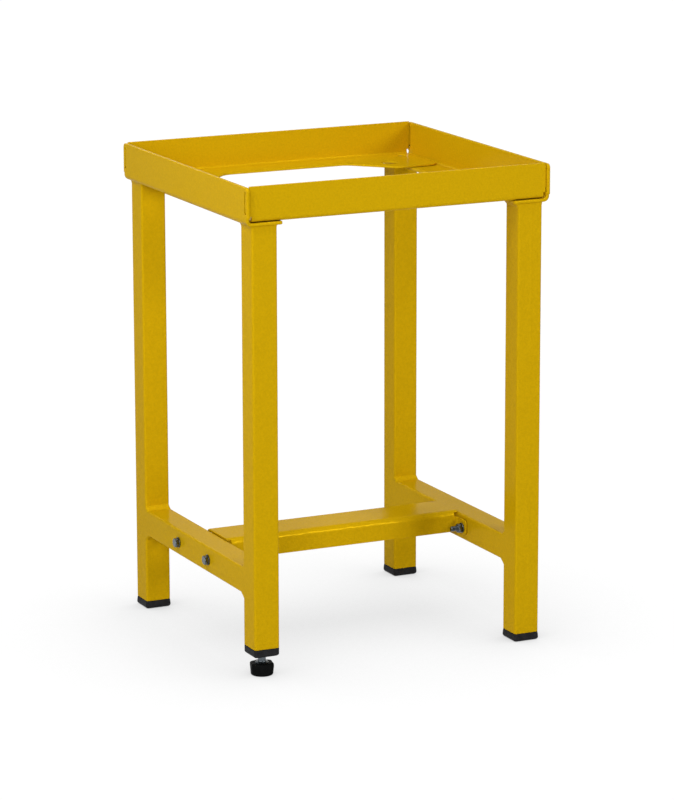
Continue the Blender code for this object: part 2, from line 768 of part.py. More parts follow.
def build_screw_foot():
    """Threaded insert in the short leg, and the stud and base that turn about its axis."""
    axis = bpy.data.objects.new("foot_axis", None)
    axis.location = (-LEG_X, -LEG_Y, 0)
    bpy.context.scene.collection.objects.link(axis)
    insert = place("front_left_insert", finish_mesh("insert", loft(cap_rings(0)), BLACK_PLASTIC), parent=axis)
    insert.location.z = FOOT_LIFT
    bore = STUD_DIAMETER / 2 + SEAT_GAP
    length = 4 * (CAP_HEIGHT + PLUG_LENGTH)
    drill(insert, "insert_bore", (0, 0, 0), (0, 0, 0), bore, length)
    place("foot_stud", foot_stud_mesh(), (0, 0, COLLAR_BOTTOM), parent=axis)
    place("foot_base", foot_base_mesh(), turn=BASE_TURN, parent=axis)


def main():
    """Clear the scene and build the stand."""
    for leftover in list(bpy.data.objects):
        bpy.data.objects.remove(leftover, do_unlink=True)
    build_tray()
    build_end_frames()
    build_stretcher()
    build_screw_foot()


main()
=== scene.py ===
"""Looks of the tool chest stand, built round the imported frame.

Each piece is made again in the place of its CAD node, with fine rounds, rounded sheet edges, weld beads
and threads, and gets a procedural finish. Metres, +Z up, seen by the photograph's camera.
"""

import math

import bmesh
import bpy
from mathutils import Euler, Matrix, Vector, noise
from mathutils.geometry import delaunay_2d_cdt


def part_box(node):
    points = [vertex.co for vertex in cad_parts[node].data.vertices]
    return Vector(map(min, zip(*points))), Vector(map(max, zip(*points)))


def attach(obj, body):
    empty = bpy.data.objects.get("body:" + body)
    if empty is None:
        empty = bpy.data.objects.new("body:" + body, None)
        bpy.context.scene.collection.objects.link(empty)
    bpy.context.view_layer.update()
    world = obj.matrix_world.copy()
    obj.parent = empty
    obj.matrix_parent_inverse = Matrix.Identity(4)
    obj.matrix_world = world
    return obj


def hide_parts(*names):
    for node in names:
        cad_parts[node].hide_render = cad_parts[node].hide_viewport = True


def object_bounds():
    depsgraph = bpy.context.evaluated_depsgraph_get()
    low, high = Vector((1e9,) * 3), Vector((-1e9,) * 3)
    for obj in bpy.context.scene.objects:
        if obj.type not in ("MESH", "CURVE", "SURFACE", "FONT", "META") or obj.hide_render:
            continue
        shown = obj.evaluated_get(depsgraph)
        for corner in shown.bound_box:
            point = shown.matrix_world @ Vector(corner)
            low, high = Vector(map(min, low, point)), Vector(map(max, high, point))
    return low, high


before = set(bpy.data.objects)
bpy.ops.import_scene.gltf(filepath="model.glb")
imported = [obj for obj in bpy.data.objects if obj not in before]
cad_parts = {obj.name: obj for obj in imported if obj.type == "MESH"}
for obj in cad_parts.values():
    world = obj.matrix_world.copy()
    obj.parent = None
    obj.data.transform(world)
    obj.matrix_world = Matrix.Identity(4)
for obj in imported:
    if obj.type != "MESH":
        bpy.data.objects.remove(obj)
cad_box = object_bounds()

# Camera fitted to the photograph: place, turn and inner values in pixels of the photo
PHOTO_WIDTH = 674
PHOTO_HEIGHT = 800
CAMERA_PLACE = (-2.3969, -5.0512, 1.6319)
CAMERA_YAW = math.radians(25.462)
CAMERA_PITCH = math.radians(12.819)
CAMERA_ROLL = math.radians(-0.125)
FOCAL_PIXELS = 3754.7
CENTRE_PIXEL = (338.56, 394.19)
SENSOR_WIDTH = 36.0
CLIP_END = 200

# Fits
SEAT_GAP = 0.0003
BORE_PLAY = 0.0005
MERGE = 1e-6

# Square tube
TUBE_CORNER = 0.003
TUBE_WALL = 0.002
TUBE_CUT_EDGE = 0.0005
SEAM_LEG = "front_right"
SEAM_OFFSET = 0.0024
SEAM_HALF = 0.0013
SEAM_RISE = 0.00016

# Weld beads, each with its width across the joint and its length along the piece that carries it
RAIL_WELD_OVER = (0.0060, 0.0075)
RAIL_WELD_UNDER = (0.0080, 0.0105)
OUTER_BEAD = (0.0018, 0.0055)
INNER_BEADS = {
    "front_left": (0.0017, 0.0030),
    "front_right": (0.0050, 0.0060),
    "rear_left": (0.0040, 0.0050),
    "rear_right": (0.0040, 0.0050),
}
CROSS_BEAD = (0.0040, 0.0050)

# Form of the beads: curve, lumps, how fast the lumps set in, and the power that keeps a bead to its face
WELD_CURVE = 1.25
WELD_LUMP = 0.0007
WELD_LUMP_SIZE = 0.0045
WELD_ROWS = 9
WELD_FACE_POWER = 12
LEG_LUMP_ONSET = 3
RAIL_LUMP_ONSET = 2

# Side angles, bent from plate
PLATE = 0.005
PLATE_BEND = 0.004
PLATE_EDGE = 0.0016
ANGLE_CORNER = 0.0065
FLANGE_SETBACK = 0.0025
FLANGE_CORNER = 0.004

# Tray rails, folded from sheet
SHEET = 0.003
SHEET_BEND = 0.003
SHEET_EDGE = 0.0007
HOLE_EDGE = 0.00035
RAIL_FLANGE = 0.058
RAIL_END_GAP = 0.0006
GUSSET_WIDTH = 0.082
GUSSET_CORNER = 0.018
GUSSET_EASE = 0.025
GUSSET_HOLE = 0.026
GUSSET_HOLE_INSET = 0.076
BEND_RELIEF = 0.0058
TONGUE_HEIGHT = 0.029
TONGUE_DROP = 0.0087
SLOT_PLAY = 0.0026

# Stretcher; the notch shares are the parts of its bends that stay on the web at the notches
STRETCHER_WIDTH = 0.0778
STRETCHER_HEIGHT = 0.0327
STRETCHER_RISE = 0.0033
STRETCHER_BEND = 0.006
STRETCHER_NOTCH = 0.0008
NOTCH_SHARES = {"front": 0.44, "rear": 0.865}
TAB_HEIGHT = 0.0235
TAB_CORNER = 0.006
TAB_BEND = 0.003
WEB_OVERLAP = 0.0002

# Fasteners
BOLT_DIAMETER = 0.008
BOLT_PITCH = 0.00125
BOLT_THREADED = 0.022
BOLT_FLATS = 0.013
SCREW_DIAMETER = 0.006
SCREW_PITCH = 0.001
SCREW_HEAD = 0.012
SCREW_RECESS = 0.001
SCREW_CLEARANCE = 0.0095
SCREW_SOCKET = 0.004
SOCKET_DEPTH = 0.002
HEX_CHAMFER = 0.0007
WASHER_EDGE = 0.0003

# Radius limits of hexagons at their chamfers, as shares of the width across the flats
HEX_CORNER_SHARE = 0.545
HEAD_EASE_SHARE = 0.49
HEAD_FACE_SHARE = 0.46
NUT_FACE_SHARE = 0.47
HEX_HALF_SIDE = math.pi / 6

# Threads: depth and end taper as shares of the pitch, and the gain that flattens the crests
THREAD_DEPTH_SHARE = 0.61
BOLT_TAPER_SHARE = 0.7
THREAD_CREST_GAIN = 1.2

# End caps and screw foot
CAP_EDGE = 0.004
CAP_BULGE = 0.0007
CAP_FLOOR = 0.004
PLUG_WALL = 0.0025
PLUG_RIBS = 3
RIB_DEPTH = 0.0012
RIB_LIP = 0.0006
STUD_DIAMETER = 0.012
STUD_PITCH = 0.00175
STUD_NECK = 0.010
COLLAR_HEIGHT = 0.002
COLLAR_TAPER = 0.0012
SPIGOT_DEPTH = 0.010
BASE_FLATS = 0.0335
BASE_CORNER = 0.0035
BASE_EDGE = 0.0022
BASE_TOP_EDGE = 0.0028
BASE_ROUND_SHARE = 0.7
BASE_TURN = math.radians(-12.5)

# Fineness of the meshes
CORNER_STEPS = 8
FLAT_STEPS = 24
BULGE_STEPS = 6
BEND_STEPS = 10
EDGE_STEPS = 4
ROUND_POINTS = 48
THREAD_ROWS = 8
ARC_STEP = math.radians(5)
CREASE_ANGLE = math.radians(40)

# Finishes: a pair holds the two ends that a noise blends, and scales are in cycles per metre
NOISE_SPAN = (0.3, 0.7)
PAINT_COLOURS = ((0.580, 0.352, 0.0023), (0.640, 0.388, 0.0029))
PAINT_ROUGHNESS = (0.10, 0.16)
PAINT_METALLIC = 0.055
PAINT_IOR = 1.038
PEEL_SCALE = 320
PEEL_HEIGHT = 0.00035
GRIT_SCALE = 900
GRIT_HEIGHT = 0.00002
ZINC_COLOURS = ((0.075, 0.085, 0.095), (0.155, 0.175, 0.19))
# Near-black zinc of the tray screws is painted shade for screws that sit down in their countersinks
ZINC_PAINTED_SHADE_COLOURS = ((0.025, 0.025, 0.03), (0.05, 0.05, 0.055))
ZINC_ROUGHNESS = (0.18, 0.30)
ZINC_CLOUD_SCALE = 260
ZINC_GRAIN_SCALE = 1600
PLASTIC_COLOURS = ((0.018, 0.018, 0.019), (0.026, 0.026, 0.028))
PLASTIC_IOR = 1.08
DULL_PLASTIC_COLOURS = ((0.006, 0.006, 0.006), (0.008, 0.008, 0.008))
DULL_PLASTIC_IOR = 1.04
PLASTIC_ROUGHNESS = (0.26, 0.34)
PLASTIC_CLOUD_SCALE = 120
PLASTIC_GRAIN_SCALE = 2200
GRAIN_HEIGHT = 0.00003

# Painted shade in narrow gaps, darker the more they are occluded, and the open shares between which it
# fades
GAP_SHADE_COLOUR = (0.200, 0.105, 0.002)
GAP_SHADE_REACH = 0.004
GAP_SHADE_OPEN = (0.30, 0.55)
GAP_SHADE_SAMPLES = 8

# Floor, whose glow carries a painted shadow from occlusion, and the world, whose bright backdrop fades
# between two cosines from its side
FLOOR_SIZE = 40
FLOOR_CELLS = 2
FLOOR_WHITE = 1.03
FLOOR_BOUNCE = 0.7
SHADOW_REACH = 0.6
SHADOW_LEVEL = 0.5
SHADOW_SAMPLES = 16
SKY_LEVEL = 0.02
ROOM_LEVEL = 0.6
BACKDROP_LEVEL = 1.0
BACKDROP_SIDE = (0.42, 0.88, 0.22)
BACKDROP_EDGE = (0.5, 0.95)

# Lamps: name, place, target, size and power in watts
LAMPS = (
    ("softbox_top", (0, 0, 5.0), (0, 0, 0.4), (3.3, 3.3), 97),
    ("softbox_left", (-1.3, -0.4, 1.7), (0, 0, 0.6), (0.9, 0.9), 13),
    ("softbox_right", (1.5, -2.9, 1.6), (0, 0, 0.4), (0.8, 0.8), 40),
    ("softbox_front", (-2.66, -3.80, 2.27), (0, 0, 0.4), (1.3, 1.3), 60),
    ("softbox_side", (-4.40, -1.90, 1.78), (0, 0, 0.4), (1.3, 1.3), 45),
    ("softbox_rear", (0.2, 4.2, 1.8), (0, 0, 0.4), (1.3, 1.3), 30),
)

SIDES = {"left": -1, "right": 1}
ENDS = {"front": -1, "rear": 1}
PLUGS = {
    "front_left": "front_left_insert",
    "front_right": "front_right_end_cap",
    "rear_left": "rear_left_end_cap",
    "rear_right": "rear_right_end_cap",
}

# Sizes taken from the frame
rail_low, rail_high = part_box("left_end_rail")
HALF_TUBE = (rail_high.x - rail_low.x) / 2
stand_high = cad_box[1]
HALF_WIDTH = stand_high.x
HALF_DEPTH = stand_high.y
RIM = stand_high.z
CAP_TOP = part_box("front_right_leg")[0].z - SEAT_GAP
PLUG_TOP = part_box("front_right_end_cap")[1].z


def node(tree, kind, **values):
    """Add a shader node and set its properties or input values by name."""
    made = tree.nodes.new(kind)
    for name, value in values.items():
        socket = name.replace("_", " ").title()
        if socket in made.inputs:
            made.inputs[socket].default_value = value
        else:
            setattr(made, name, value)
    return made


def new_material(name):
    """Material with its node tree and the Principled shader that is linked to the output."""
    made = bpy.data.materials.new(name)
    made.use_nodes = True
    tree = made.node_tree
    return made, tree, tree.nodes["Principled BSDF"]


def grain(tree, coords, scale, detail=2.0):
    """Noise of a given scale, in cycles per metre, over the piece's own coordinates."""
    made = node(tree, "ShaderNodeTexNoise", scale=scale, detail=detail)
    tree.links.new(coords.outputs["Object"], made.inputs["Vector"])
    return made


def remap(tree, value, source, target=(0, 1)):
    """Map a value from one range to another."""
    low, high = source
    made = node(tree, "ShaderNodeMapRange", from_min=low, from_max=high, to_min=target[0], to_max=target[1])
    tree.links.new(value, made.inputs["Value"])
    return made.outputs["Result"]


def blend(tree, share, first, second):
    """Blend two colours by a share; each is given by its values or by a socket."""
    made = node(tree, "ShaderNodeMix", data_type="RGBA")
    colours = [socket for socket in made.inputs if socket.type == "RGBA"]
    for socket, colour in zip(colours, (first, second)):
        if isinstance(colour, tuple):
            socket.default_value = (*colour, 1)
        else:
            tree.links.new(colour, socket)
    tree.links.new(share, made.inputs["Factor"])
    return next(socket for socket in made.outputs if socket.type == "RGBA")


def spread(tree, source, ends):
    """Map a noise to the range between two values."""
    return remap(tree, source.outputs["Fac"], NOISE_SPAN, ends)


def tint(tree, source, colours):
    """Blend two colours by a noise."""
    return blend(tree, spread(tree, source, (0, 1)), *colours)


def paint_gap_shade(tree, colour):
    """Blend a colour into painted shade in narrow gaps, by how occluded they are."""
    gap = node(tree, "ShaderNodeAmbientOcclusion", samples=GAP_SHADE_SAMPLES, distance=GAP_SHADE_REACH)
    return blend(tree, remap(tree, gap.outputs["AO"], GAP_SHADE_OPEN), GAP_SHADE_COLOUR, colour)


def rough_up(tree, shader, layers):
    """Chain bump nodes: each layer is a noise with its height in metres."""
    normal = None
    for source, height in layers:
        bump = node(tree, "ShaderNodeBump", distance=height)
        tree.links.new(source.outputs["Fac"], bump.inputs["Height"])
        if normal is not None:
            tree.links.new(normal, bump.inputs["Normal"])
        normal = bump.outputs["Normal"]
    tree.links.new(normal, shader.inputs["Normal"])


def yellow_paint():
    """Powder coat: deep yellow that shines only at a grazing angle, with fine orange peel and painted shade
    in narrow gaps.
    """
    made, tree, shader = new_material("yellow_powder_coat")
    coords = node(tree, "ShaderNodeTexCoord")
    peel = grain(tree, coords, PEEL_SCALE, detail=1.0)
    grit = grain(tree, coords, GRIT_SCALE, detail=1.0)
    # Painted shade: the base colour darkens in narrow gaps by their occlusion
    colour = paint_gap_shade(tree, tint(tree, peel, PAINT_COLOURS))
    tree.links.new(colour, shader.inputs["Base Color"])
    tree.links.new(spread(tree, grit, PAINT_ROUGHNESS), shader.inputs["Roughness"])
    shader.inputs["Metallic"].default_value = PAINT_METALLIC
    shader.inputs["IOR"].default_value = PAINT_IOR
    rough_up(tree, shader, ((peel, PEEL_HEIGHT), (grit, GRIT_HEIGHT)))
    return made


def zinc_plate(name, colours):
    """Zinc on steel with faint clouding between two colours: cool grey on the bolts and stud, near black
    with painted shade on the tray screws.
    """
    made, tree, shader = new_material(name)
    coords = node(tree, "ShaderNodeTexCoord")
    cloud = grain(tree, coords, ZINC_CLOUD_SCALE, detail=3.0)
    fine = grain(tree, coords, ZINC_GRAIN_SCALE)
    tree.links.new(tint(tree, cloud, colours), shader.inputs["Base Color"])
    tree.links.new(spread(tree, cloud, ZINC_ROUGHNESS), shader.inputs["Roughness"])
    shader.inputs["Metallic"].default_value = 1.0
    rough_up(tree, shader, ((fine, GRAIN_HEIGHT),))
    return made


def black_plastic(name, colours, ior):
    """Moulded polymer: near black with fine grain, satin or dull by its refraction."""
    made, tree, shader = new_material(name)
    coords = node(tree, "ShaderNodeTexCoord")
    cloud = grain(tree, coords, PLASTIC_CLOUD_SCALE)
    fine = grain(tree, coords, PLASTIC_GRAIN_SCALE)
    tree.links.new(tint(tree, cloud, colours), shader.inputs["Base Color"])
    tree.links.new(spread(tree, cloud, PLASTIC_ROUGHNESS), shader.inputs["Roughness"])
    shader.inputs["IOR"].default_value = ior
    rough_up(tree, shader, ((fine, GRAIN_HEIGHT),))
    return made


def add_object(name, data):
    """Make an object of a mesh, lamp or camera and link it to the scene."""
    made = bpy.data.objects.new(name, data)
    bpy.context.scene.collection.objects.link(made)
    return made


def add_piece(name, bm, finish, nodes, body="frame"):
    """Make an object of a closed bmesh, in place of CAD nodes, riding on their body."""
    bmesh.ops.recalc_face_normals(bm, faces=bm.faces)
    mesh = bpy.data.meshes.new(name)
    bm.to_mesh(mesh)
    bm.free()
    mesh.materials.append(finish)
    mesh.shade_smooth()
    mesh.set_sharp_from_angle(angle=CREASE_ANGLE)
    piece = add_object(name, mesh)
    weighted = piece.modifiers.new("even_normals", "WEIGHTED_NORMAL")
    weighted.keep_sharp = True
    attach(piece, body)
    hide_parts(*nodes)


def skin(rings, closed=False):
    """Skin a stack of rings with equal counts; a closed stack is a tube, an open one gets end faces."""
    bm = bmesh.new()
    rows = [[bm.verts.new(point) for point in ring] for ring in rings]
    pairs = list(zip(rows, rows[1:]))
    if closed:
        pairs.append((rows[-1], rows[0]))
    else:
        bm.faces.new(rows[0])
        bm.faces.new(rows[-1])
    for low, high in pairs:
        for i in range(len(low)):
            j = (i + 1) % len(low)
            bm.faces.new((low[i], low[j], high[j], high[i]))
    return bm


def turned(bm, matrix):
    """Move a bmesh by a matrix."""
    bmesh.ops.transform(bm, matrix=matrix, verts=bm.verts)
    return bm


def quarter_turn(steps):
    """Angles of equal steps through a right angle, both ends included."""
    return [k / steps * math.pi / 2 for k in range(steps + 1)]


def box_ring(x_low, x_high, y_low, y_high, corner, put):
    """Ring of a rounded rectangle with evenly split sides, each 2D point mapped to space by put."""
    centres = (
        (x_high - corner, y_high - corner, 0),
        (x_low + corner, y_high - corner, 1),
        (x_low + corner, y_low + corner, 2),
        (x_high - corner, y_low + corner, 3),
    )
    arcs = []
    for x, y, quarter in centres:
        angles = [(quarter + k / CORNER_STEPS) * math.pi / 2 for k in range(CORNER_STEPS + 1)]
        arcs.append([Vector((x + corner * math.cos(a), y + corner * math.sin(a))) for a in angles])
    ring = []
    for i, arc in enumerate(arcs):
        start = arc[-1]
        end = arcs[(i + 1) % len(arcs)][0]
        ring += arc
        ring += [start.lerp(end, k / FLAT_STEPS) for k in range(1, FLAT_STEPS)]
    return [put(point.x, point.y) for point in ring]


def square_ring(half, corner, z):
    """Horizontal ring of a rounded square about the Z axis."""
    return box_ring(-half, half, -half, half, corner, lambda x, y: Vector((x, y, z)))


def round_ring(radius, z):
    """Horizontal ring of a circle about the Z axis."""
    angles = [i * 2 * math.pi / ROUND_POINTS for i in range(ROUND_POINTS)]
    return [Vector((radius * math.cos(a), radius * math.sin(a), z)) for a in angles]


def bore_ring(ring, radius, z):
    """Horizontal ring of a circle whose points lie at the angles of another ring's points."""
    return [Vector((*(point.to_2d().normalized() * radius), z)) for point in ring]


def off_flat(angle):
    """Angle from the middle of a hexagon's nearest side."""
    return (angle + HEX_HALF_SIDE) % (2 * HEX_HALF_SIDE) - HEX_HALF_SIDE


def hex_ring(flats, z, limit=math.inf):
    """Horizontal ring of a hexagon across the flats, its corners cut back to the radius limit."""
    ring = []
    for point in round_ring(1, 0):
        aside = off_flat(math.atan2(point.y, point.x))
        radius = min(flats / 2 / math.cos(aside), limit)
        ring.append(Vector((radius * point.x, radius * point.y, z)))
    return ring


def soft_hexagon(flats, corner, angle):
    """Radius at an angle of a hexagon whose corners are arcs."""
    aside = abs(off_flat(angle))
    core = flats / 2 - corner
    if flats / 2 * math.tan(aside) <= core * math.tan(HEX_HALF_SIDE):
        return flats / 2 / math.cos(aside)
    apex = core / math.cos(HEX_HALF_SIDE)
    ahead = HEX_HALF_SIDE - aside
    return apex * math.cos(ahead) + math.sqrt(max(corner**2 - (apex * math.sin(ahead)) ** 2, 0))


def thread_rings(radius, pitch, start, end):
    """Rings of a right-hand thread from one height to another."""
    depth = THREAD_DEPTH_SHARE * pitch
    step = math.copysign(pitch / THREAD_ROWS, end - start)
    count = max(1, round((end - start) / step))
    rings = []
    for row in range(count + 1):
        z = start + row * step
        ring = []
        for point in round_ring(1, 0):
            turn = math.atan2(point.y, point.x) / (2 * math.pi)
            phase = (z / pitch - turn) % 1
            height = 1 - abs(2 * phase - 1)
            local = radius - depth * (1 - min(1, height * THREAD_CREST_GAIN))
            ring.append(Vector((point.x * local, point.y * local, z)))
        rings.append(ring)
    return rings


def fillet_outline(corners):
    """Closed 2D outline from (x, y, radius) corners, each rounded by an arc."""
    outline = []
    for i, (x, y, radius) in enumerate(corners):
        here = Vector((x, y))
        if radius == 0:
            outline.append(here)
            continue
        back = (Vector(corners[i - 1][:2]) - here).normalized()
        ahead = (Vector(corners[(i + 1) % len(corners)][:2]) - here).normalized()
        half = back.angle(ahead) / 2
        centre = here + (back + ahead).normalized() * radius / math.sin(half)
        start = here + back * radius / math.tan(half) - centre
        end = here + ahead * radius / math.tan(half) - centre
        sweep = math.atan2(start.x * end.y - start.y * end.x, start.dot(end))
        steps = max(1, math.ceil(abs(sweep) / ARC_STEP))
        for k in range(steps + 1):
            outline.append(centre + Matrix.Rotation(sweep * k / steps, 2) @ start)
    return outline


def circle(x, y, radius):
    """2D outline of a round hole."""
    return [Vector((x, y)) + point.to_2d() for point in round_ring(radius, 0)]


def inside(point, outline):
    """Tell whether a 2D point lies inside a closed outline."""
    within = False
    for i, a in enumerate(outline):
        b = outline[i - 1]
        if (a.y > point.y) != (b.y > point.y):
            if point.x < a.x + (b.x - a.x) * (point.y - a.y) / (b.y - a.y):
                within = not within
    return within


def inward(flat, before, i, after):
    """Mitred step into the sheet at a point of its rim, one unit wide; the sheet lies to the left."""
    first = (flat[i] - flat[before]).normalized()
    second = (flat[after] - flat[i]).normalized()
    total = Vector((-first.y - second.y, first.x + second.x))
    return total * 2 / total.length_squared


def edge_profile(radius, thickness):
    """Quarter round of a sheet's edge: insets from the rim with their heights over the middle."""
    profile = []
    for angle in quarter_turn(EDGE_STEPS):
        profile.append((radius * (1 - math.sin(angle)), thickness / 2 - radius * (1 - math.cos(angle))))
    return profile


def folded_sheet(outline, holes, creases, thickness, edge, fold):
    """Cut a flat pattern from sheet, round its edges and fold it.

    holes are pairs of outlines with equal counts, on the back and the front of the sheet, which differ
    where a hole is countersunk. creases are the lines that the bends need as edges. fold maps a flat point
    and its height over the middle of the sheet to space.
    """
    points = []
    edges = []
    for loop in [outline] + [back for back, _ in holes]:
        first = len(points)
        points.extend(loop)
        edges.extend((first + i, first + (i + 1) % len(loop)) for i in range(len(loop)))
    fronts = dict(enumerate([point for _, front in holes for point in front], len(outline)))
    for a, b in creases:
        edges.append((len(points), len(points) + 1))
        points.extend((Vector(a), Vector(b)))
    flat, _, faces, sources, _, _ = delaunay_2d_cdt(points, edges, [], 0, MERGE)

    kept = []
    for face in faces:
        centre = sum((flat[i] for i in face), Vector((0, 0))) / len(face)
        if inside(centre, outline) and not any(inside(centre, back) for back, _ in holes):
            kept.append(face)
    directed = {(a, b) for face in kept for a, b in zip(face, [*face[1:], face[0]])}
    after = {a: b for a, b in directed if (b, a) not in directed}
    before = {b: a for a, b in after.items()}

    bm = bmesh.new()
    rim_profile = edge_profile(edge, thickness)
    hole_profile = edge_profile(HOLE_EDGE, thickness)
    rims = {}
    tops = {}
    bottoms = {}
    for i in {i for face in kept for i in face}:
        if i not in after:
            tops[i] = bm.verts.new(fold(flat[i].x, flat[i].y, thickness / 2))
            bottoms[i] = bm.verts.new(fold(flat[i].x, flat[i].y, -thickness / 2))
            continue
        step = inward(flat, before[i], i, after[i])
        front = next((fronts[s] for s in sources[i] if s in fronts), None)
        profile = rim_profile if front is None else hole_profile
        start = flat[i] if front is None else front
        upper = [(start + step * inset, height) for inset, height in profile]
        lower = [(flat[i] + step * inset, -height) for inset, height in reversed(profile)]
        rims[i] = [bm.verts.new(fold(place.x, place.y, height)) for place, height in upper + lower]
        tops[i] = rims[i][0]
        bottoms[i] = rims[i][-1]
    for face in kept:
        bm.faces.new([tops[i] for i in face])
        bm.faces.new([bottoms[i] for i in reversed(face)])
    for i, j in after.items():
        for k in range(len(rims[i]) - 1):
            bm.faces.new((rims[i][k], rims[i][k + 1], rims[j][k + 1], rims[j][k]))
    return bm


def bend(reach, height, radius):
    """Bend a flat point by a right angle towards +height, starting where reach is zero."""
    if reach <= 0:
        return reach, height
    arc = radius * math.pi / 2
    angle = min(reach, arc) / radius
    past = max(reach - arc, 0)
    return (radius - height) * math.sin(angle), radius - (radius - height) * math.cos(angle) + past


def bend_creases(first, radius, low, high):
    """Lines across the pattern at equal turns through a bend."""
    arc = radius * math.pi / 2
    levels = [first + arc * k / BEND_STEPS for k in range(BEND_STEPS + 1)]
    return [((low, level), (high, level)) for level in levels]


def mirror_outline(half):
    """Complete the corners of half an outline with their mirror image in x."""
    return half + tuple((-x, y, radius) for x, y, radius in reversed(half))


def node_centre(name):
    """Middle of a CAD node's box."""
    low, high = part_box(name)
    return (low + high) / 2


def leg_centre(name):
    """Axis of a leg, from the plug in its lower end."""
    return node_centre(PLUGS[name])


def side_angle(side, sign, finish):
    """Side wall with its inboard flange, slots for the tongues and holes for the tray screws."""
    name = f"{side}_side_angle"
    low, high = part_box(name)
    bottom = low.z
    flange = high.x - low.x
    middle = PLATE_BEND + PLATE / 2
    arc = middle * math.pi / 2
    tangent = PLATE_BEND + PLATE
    wall_top = tangent - (high.z - bottom)
    flange_end = HALF_DEPTH - FLANGE_SETBACK
    half = (
        (HALF_DEPTH, wall_top, ANGLE_CORNER),
        (HALF_DEPTH, -FLANGE_SETBACK, 0),
        (flange_end, -FLANGE_SETBACK, 0),
        (flange_end, arc + flange - tangent, FLANGE_CORNER),
    )
    rail_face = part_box("rear_tray_rail")[1].y
    slot_top = tangent - (RIM - TONGUE_DROP - bottom) - SEAT_GAP
    slot_bottom = slot_top + TONGUE_HEIGHT + SEAT_GAP + SLOT_PLAY
    slot_out = rail_face + SEAT_GAP
    slot_in = rail_face - SHEET - SLOT_PLAY
    centre = leg_centre(f"rear_{side}")
    screw_reach = arc + HALF_WIDTH - abs(centre.x) - tangent
    holes = []
    for end in ENDS.values():
        slot = [
            Vector((end * slot_in, slot_top)),
            Vector((end * slot_out, slot_top)),
            Vector((end * slot_out, slot_bottom)),
            Vector((end * slot_in, slot_bottom)),
        ]
        screw = circle(end * centre.y, screw_reach, SCREW_CLEARANCE / 2)
        holes += [(slot, slot), (screw, screw)]

    def fold(x, y, height):
        down, across = bend(y, height, middle)
        return Vector((sign * (HALF_WIDTH - across - PLATE / 2), x, bottom + tangent - down))

    creases = bend_creases(0, middle, -HALF_DEPTH, HALF_DEPTH)
    bm = folded_sheet(fillet_outline(mirror_outline(half)), holes, creases, PLATE, PLATE_EDGE, fold)
    add_piece(f"{name}_plate", bm, finish, [name])


def tray_rail(end, sign, finish):
    """Front or rear tray wall with its gusseted floor flange, bend reliefs and tongues."""
    name = f"{end}_tray_rail"
    low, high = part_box(name)
    bottom = low.z
    face = max(abs(low.y), abs(high.y))
    depth = high.y - low.y
    middle = SHEET_BEND + SHEET / 2
    arc = middle * math.pi / 2
    tangent = SHEET_BEND + SHEET
    wall_top = tangent - (high.z - bottom)
    wall_end = HALF_WIDTH - PLATE - RAIL_END_GAP
    floor_end = HALF_WIDTH - PLATE - PLATE_BEND - BORE_PLAY
    tongue_top = wall_top + TONGUE_DROP
    relief_top = tangent - SHEET - BEND_RELIEF
    flange_edge = arc + RAIL_FLANGE - tangent
    gusset_edge = arc + depth - tangent
    gusset_in = HALF_WIDTH - GUSSET_WIDTH
    half = (
        (wall_end, wall_top, 0),
        (wall_end, tongue_top, 0),
        (HALF_WIDTH, tongue_top, 0),
        (HALF_WIDTH, tongue_top + TONGUE_HEIGHT, 0),
        (wall_end, tongue_top + TONGUE_HEIGHT, 0),
        (wall_end, relief_top, 0),
        (floor_end, relief_top, 0),
        (floor_end, gusset_edge, GUSSET_CORNER),
        (gusset_in, gusset_edge, GUSSET_EASE),
        (gusset_in - (gusset_edge - flange_edge), flange_edge, GUSSET_EASE),
    )
    centre = leg_centre("rear_right")
    screw_reach = arc + face - centre.y - tangent
    hole_reach = arc + GUSSET_HOLE_INSET - tangent
    sink = SCREW_HEAD / 2 + SCREW_RECESS + 2 * SEAT_GAP
    holes = []
    for side in SIDES.values():
        wide = circle(side * centre.x, screw_reach, sink)
        narrow = circle(side * centre.x, screw_reach, sink - SHEET)
        plain = circle(side * (HALF_WIDTH - GUSSET_HOLE_INSET), hole_reach, GUSSET_HOLE / 2)
        holes += [(narrow, wide), (plain, plain)]

    def fold(x, y, height):
        down, across = bend(y, height, middle)
        return Vector((x, sign * (face - across - SHEET / 2), bottom + tangent - down))

    creases = bend_creases(0, middle, -HALF_WIDTH, HALF_WIDTH)
    bm = folded_sheet(fillet_outline(mirror_outline(half)), holes, creases, SHEET, SHEET_EDGE, fold)
    add_piece(f"{name}_sheet", bm, finish, [name])


